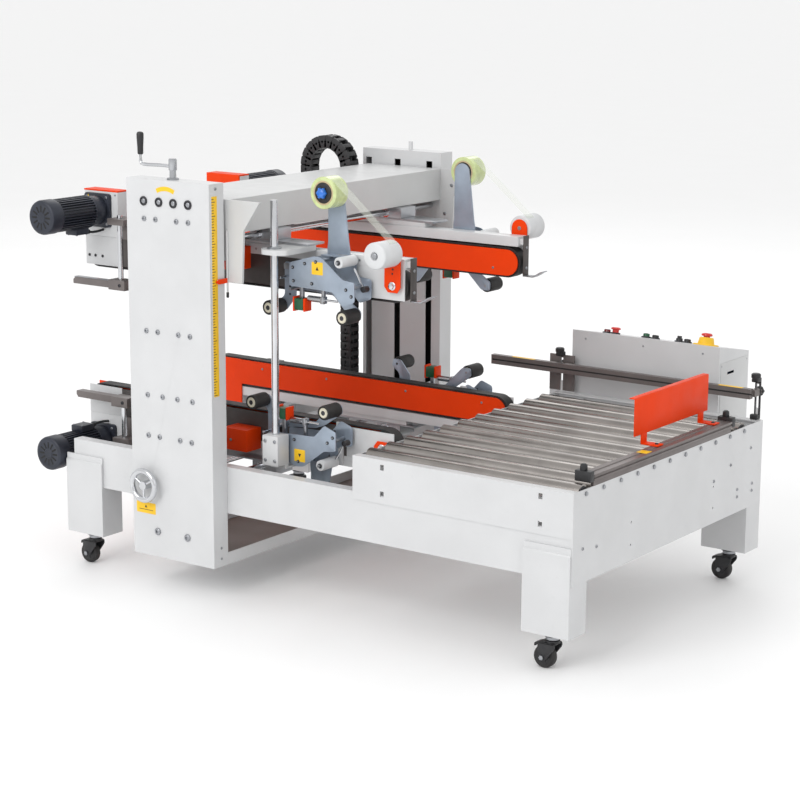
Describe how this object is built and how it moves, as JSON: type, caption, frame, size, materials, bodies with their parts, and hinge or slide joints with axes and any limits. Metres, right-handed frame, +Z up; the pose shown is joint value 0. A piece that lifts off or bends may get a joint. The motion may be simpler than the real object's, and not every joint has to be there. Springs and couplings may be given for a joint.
{
  "type": "carton sealer machine",
  "caption": "Wide frame with driven side belts, taping heads at the carton's edges, an adjustable cross beam between columns and a roller infeed table with guide bar, pusher and console",
  "frame": {"origin": "on the floor, in the middle of the outline in X and Y", "axes": "X runs along the machine with the infeed roller table at +X, Y runs across it with the crank column and handwheel at -Y, Z is up"},
  "size_m": [2.44, 1.768, 1.706],
  "materials": {
    "white_paint": "powder coated, slightly worn at the edges",
    "beam_paint": "powder coated light grey",
    "polished_steel": "ground and plated, light handling marks",
    "plain_steel": "zinc plated hardware",
    "zinc_plate": "blue-grey zinc plate",
    "motor_paint": "dark blue-black painted die casting",
    "grey_bar": "anodised grey-brown",
    "black_plastic": "moulded nylon",
    "black_rubber": "matt rubber with wear",
    "caster_black": "black stamped steel",
    "adhesive_tape": "wound clear-yellow tape, slightly glossy edge",
    "green_button": "moulded",
    "red_button": "moulded"
  },
  "bodies": {
    "frame": {"base_frame": "white_paint", "near_column": "white_paint", "far_column": "white_paint", "guide_shafts": "polished_steel", "table_frame": "white_paint", "roller_axles": "plain_steel", "control_console": "white_paint", "fasteners": "plain_steel"},
    "lift": {"cross_beam": "beam_paint", "cable_chain": "black_plastic"},
    "crank": {"crank": "polished_steel"},
    "handwheel": {"handwheel": "polished_steel"},
    "guide_bar": {"guide_bar": "grey_bar"},
    "pusher": {"pusher": "grey_bar"},
    "start_button": {"start_button": "green_button"},
    "stop_button": {"stop_button": "red_button"},
    "emergency_stop": {"emergency_stop": "red_button"},
    "near_lower_unit": {"near_lower_housing": "white_paint", "near_lower_belt": "black_rubber", "near_lower_motor": "motor_paint", "near_lower_head": "zinc_plate"},
    "near_lower_arm": {"near_lower_arm": "black_rubber"},
    "near_lower_tape": {"near_lower_tape": "adhesive_tape"},
    "near_upper_unit": {"near_upper_housing": "white_paint", "near_upper_belt": "black_rubber", "near_upper_motor": "motor_paint", "near_upper_head": "zinc_plate"},
    "near_upper_arm": {"near_upper_arm": "black_rubber"},
    "near_upper_tape": {"near_upper_tape": "adhesive_tape"},
    "far_lower_unit": {"far_lower_housing": "white_paint", "far_lower_belt": "black_rubber", "far_lower_motor": "motor_paint", "far_lower_head": "zinc_plate"},
    "far_lower_arm": {"far_lower_arm": "black_rubber"},
    "far_lower_tape": {"far_lower_tape": "adhesive_tape"},
    "far_upper_unit": {"far_upper_housing": "white_paint", "far_upper_belt": "black_rubber", "far_upper_motor": "motor_paint", "far_upper_head": "zinc_plate"},
    "far_upper_arm": {"far_upper_arm": "black_rubber"},
    "far_upper_tape": {"far_upper_tape": "adhesive_tape"},
    "table_roller_01": {"table_roller_01": "polished_steel"},
    "table_roller_02": {"table_roller_02": "polished_steel"},
    "table_roller_03": {"table_roller_03": "polished_steel"},
    "table_roller_04": {"table_roller_04": "polished_steel"},
    "table_roller_05": {"table_roller_05": "polished_steel"},
    "table_roller_06": {"table_roller_06": "polished_steel"},
    "table_roller_07": {"table_roller_07": "polished_steel"},
    "table_roller_08": {"table_roller_08": "polished_steel"},
    "table_roller_09": {"table_roller_09": "polished_steel"},
    "table_roller_10": {"table_roller_10": "polished_steel"},
    "table_roller_11": {"table_roller_11": "polished_steel"},
    "caster_fork_near_right": {"caster_fork_near_right": "caster_black"},
    "caster_wheel_near_right": {"caster_wheel_near_right": "black_rubber"},
    "caster_fork_near_left": {"caster_fork_near_left": "caster_black"},
    "caster_wheel_near_left": {"caster_wheel_near_left": "black_rubber"},
    "caster_fork_far_right": {"caster_fork_far_right": "caster_black"},
    "caster_wheel_far_right": {"caster_wheel_far_right": "black_rubber"},
    "caster_fork_far_left": {"caster_fork_far_left": "caster_black"},
    "caster_wheel_far_left": {"caster_wheel_far_left": "black_rubber"}
  },
  "joints": [
    {"name": "lift_slide", "type": "slide", "parent": "frame", "child": "lift", "axis": [0, 0, 1], "range_m": [-0.28, 0.03]},
    {"name": "crank_spin", "type": "hinge", "parent": "frame", "child": "crank", "pos_m": [-0.465, -0.802, 1.3], "axis": [0, 0, 1], "range_deg": [-5100, 560]},
    {"name": "near_lower_slide", "type": "slide", "parent": "frame", "child": "near_lower_unit", "axis": [0, 1, 0], "range_m": [-0.06, 0.18]},
    {"name": "near_lower_arm_slide", "type": "slide", "parent": "near_lower_unit", "child": "near_lower_arm", "axis": [0, 0, -1], "range_m": [0, 0.045], "stiffness_N_per_m": 400},
    {"name": "near_lower_tape_spin", "type": "hinge", "parent": "near_lower_unit", "child": "near_lower_tape", "pos_m": [-0.054, -0.518, 0.338], "axis": [0, 1, 0], "continuous": true},
    {"name": "near_upper_slide", "type": "slide", "parent": "lift", "child": "near_upper_unit", "axis": [0, 1, 0], "range_m": [-0.06, 0.18]},
    {"name": "near_upper_arm_slide", "type": "slide", "parent": "near_upper_unit", "child": "near_upper_arm", "axis": [0, 0, 1], "range_m": [0, 0.045], "stiffness_N_per_m": 400},
    {"name": "near_upper_tape_spin", "type": "hinge", "parent": "near_upper_unit", "child": "near_upper_tape", "pos_m": [0.031, -0.518, 1.507], "axis": [0, 1, 0], "continuous": true},
    {"name": "far_lower_slide", "type": "slide", "parent": "frame", "child": "far_lower_unit", "axis": [0, 1, 0], "range_m": [-0.18, 0.06]},
    {"name": "far_lower_arm_slide", "type": "slide", "parent": "far_lower_unit", "child": "far_lower_arm", "axis": [0, 0, -1], "range_m": [0, 0.045], "stiffness_N_per_m": 400},
    {"name": "far_lower_tape_spin", "type": "hinge", "parent": "far_lower_unit", "child": "far_lower_tape", "pos_m": [-0.054, 0.356, 0.338], "axis": [0, 1, 0], "continuous": true},
    {"name": "far_upper_slide", "type": "slide", "parent": "lift", "child": "far_upper_unit", "axis": [0, 1, 0], "range_m": [-0.18, 0.06]},
    {"name": "far_upper_arm_slide", "type": "slide", "parent": "far_upper_unit", "child": "far_upper_arm", "axis": [0, 0, 1], "range_m": [0, 0.045], "stiffness_N_per_m": 400},
    {"name": "far_upper_tape_spin", "type": "hinge", "parent": "far_upper_unit", "child": "far_upper_tape", "pos_m": [0.031, 0.356, 1.507], "axis": [0, 1, 0], "continuous": true},
    {"name": "handwheel_spin", "type": "hinge", "parent": "frame", "child": "handwheel", "pos_m": [-0.575, -0.874, 0.405], "axis": [0, 1, 0], "range_deg": [-2200, 6500]},
    {"name": "table_roller_01_spin", "type": "hinge", "parent": "frame", "child": "table_roller_01", "pos_m": [0.773, -0.688, 0.615], "axis": [1, 0, 0], "continuous": true},
    {"name": "table_roller_02_spin", "type": "hinge", "parent": "frame", "child": "table_roller_02", "pos_m": [0.773, -0.5743, 0.615], "axis": [1, 0, 0], "continuous": true},
    {"name": "table_roller_03_spin", "type": "hinge", "parent": "frame", "child": "table_roller_03", "pos_m": [0.773, -0.4606, 0.615], "axis": [1, 0, 0], "continuous": true},
    {"name": "table_roller_04_spin", "type": "hinge", "parent": "frame", "child": "table_roller_04", "pos_m": [0.773, -0.3469, 0.615], "axis": [1, 0, 0], "continuous": true},
    {"name": "table_roller_05_spin", "type": "hinge", "parent": "frame", "child": "table_roller_05", "pos_m": [0.773, -0.2332, 0.615], "axis": [1, 0, 0], "continuous": true},
    {"name": "table_roller_06_spin", "type": "hinge", "parent": "frame", "child": "table_roller_06", "pos_m": [0.773, -0.1195, 0.615], "axis": [1, 0, 0], "continuous": true},
    {"name": "table_roller_07_spin", "type": "hinge", "parent": "frame", "child": "table_roller_07", "pos_m": [0.773, -0.0058, 0.615], "axis": [1, 0, 0], "continuous": true},
    {"name": "table_roller_08_spin", "type": "hinge", "parent": "frame", "child": "table_roller_08", "pos_m": [0.773, 0.1079, 0.615], "axis": [1, 0, 0], "continuous": true},
    {"name": "table_roller_09_spin", "type": "hinge", "parent": "frame", "child": "table_roller_09", "pos_m": [0.773, 0.2216, 0.615], "axis": [1, 0, 0], "continuous": true},
    {"name": "table_roller_10_spin", "type": "hinge", "parent": "frame", "child": "table_roller_10", "pos_m": [0.773, 0.3353, 0.615], "axis": [1, 0, 0], "continuous": true},
    {"name": "table_roller_11_spin", "type": "hinge", "parent": "frame", "child": "table_roller_11", "pos_m": [0.773, 0.449, 0.615], "axis": [1, 0, 0], "continuous": true},
    {"name": "caster_swivel_near_right", "type": "hinge", "parent": "frame", "child": "caster_fork_near_right", "pos_m": [1.1185, -0.719, 0.1], "axis": [0, 0, 1], "continuous": true},
    {"name": "caster_roll_near_right", "type": "hinge", "parent": "caster_fork_near_right", "child": "caster_wheel_near_right", "pos_m": [1.0905, -0.719, 0.04], "axis": [0, 1, 0], "continuous": true},
    {"name": "caster_swivel_near_left", "type": "hinge", "parent": "frame", "child": "caster_fork_near_left", "pos_m": [-0.9755, -0.719, 0.1], "axis": [0, 0, 1], "continuous": true},
    {"name": "caster_roll_near_left", "type": "hinge", "parent": "caster_fork_near_left", "child": "caster_wheel_near_left", "pos_m": [-1.0035, -0.719, 0.04], "axis": [0, 1, 0], "continuous": true},
    {"name": "caster_swivel_far_right", "type": "hinge", "parent": "frame", "child": "caster_fork_far_right", "pos_m": [1.1185, 0.557, 0.1], "axis": [0, 0, 1], "continuous": true},
    {"name": "caster_roll_far_right", "type": "hinge", "parent": "caster_fork_far_right", "child": "caster_wheel_far_right", "pos_m": [1.0905, 0.557, 0.04], "axis": [0, 1, 0], "continuous": true},
    {"name": "caster_swivel_far_left", "type": "hinge", "parent": "frame", "child": "caster_fork_far_left", "pos_m": [-0.9755, 0.557, 0.1], "axis": [0, 0, 1], "continuous": true},
    {"name": "caster_roll_far_left", "type": "hinge", "parent": "caster_fork_far_left", "child": "caster_wheel_far_left", "pos_m": [-1.0035, 0.557, 0.04], "axis": [0, 1, 0], "continuous": true},
    {"name": "pusher_slide", "type": "slide", "parent": "frame", "child": "pusher", "axis": [-1, 0, 0], "range_m": [0, 0.55]},
    {"name": "guide_bar_slide", "type": "slide", "parent": "frame", "child": "guide_bar", "axis": [0, 0, 1], "range_m": [-0.05, 0.02]},
    {"name": "start_button_press", "type": "slide", "parent": "frame", "child": "start_button", "axis": [0, -0.1877, -0.9822], "range_m": [0, 0.004], "stiffness_N_per_m": 300},
    {"name": "stop_button_press", "type": "slide", "parent": "frame", "child": "stop_button", "axis": [0, -0.1877, -0.9822], "range_m": [0, 0.004], "stiffness_N_per_m": 300},
    {"name": "emergency_stop_press", "type": "slide", "parent": "frame", "child": "emergency_stop", "axis": [0, -0.1877, -0.9822], "range_m": [0, 0.004], "stiffness_N_per_m": 300}
  ],
  "couplings": [
    {"joint": "crank_spin", "follows": "lift_slide", "rad_per_m": 314.16},
    {"joint": "far_lower_slide", "follows": "near_lower_slide", "ratio": -1},
    {"joint": "near_upper_slide", "follows": "near_lower_slide", "ratio": 1},
    {"joint": "far_upper_slide", "follows": "near_lower_slide", "ratio": -1},
    {"joint": "handwheel_spin", "follows": "near_lower_slide", "rad_per_m": 628.32}
  ]
}
